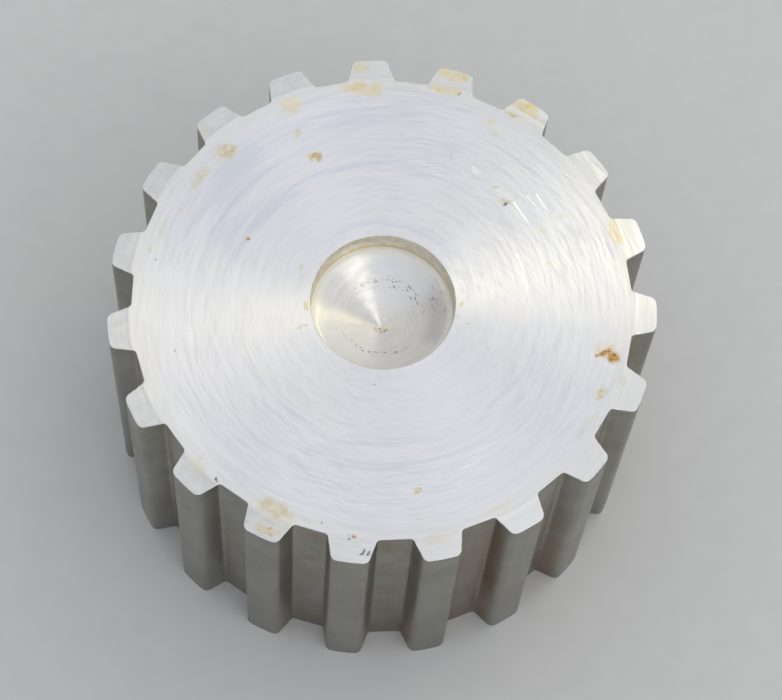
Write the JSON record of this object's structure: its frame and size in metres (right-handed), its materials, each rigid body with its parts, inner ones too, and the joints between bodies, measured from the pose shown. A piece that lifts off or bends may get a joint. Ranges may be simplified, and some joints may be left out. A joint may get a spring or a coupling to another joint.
{
  "type": "timing belt pulley",
  "caption": "Flangeless aluminium timing belt pulley with trapezoidal teeth, a drilled recess in its closed front face, a blind shaft bore and radial grub screws.",
  "frame": {"origin": "centre of the open back face, on the pulley's axis, so the part stands on it", "axes": "+Z along the pulley's axis, out of the closed front face; +X through the middle of a tooth; both grub screws are on the +Y side"},
  "size_m": [0.0584, 0.0586, 0.033],
  "materials": {
    "machined_aluminium": "turned and milled bare aluminium, satin, with light wear and stains",
    "black_steel": "black oxide"
  },
  "bodies": {
    "pulley": {"toothed_body": "machined_aluminium"},
    "first_screw": {"grub_screw_1": "black_steel"},
    "second_screw": {"grub_screw_2": "black_steel"}
  },
  "joints": [
    {"name": "first_screw_slide", "type": "slide", "parent": "pulley", "child": "first_screw", "axis": [0.6773, 0.7357, 0], "range_m": [0, 0.004]},
    {"name": "second_screw_slide", "type": "slide", "parent": "pulley", "child": "second_screw", "axis": [-0.7891, 0.6142, 0], "range_m": [0, 0.004]}
  ]
}
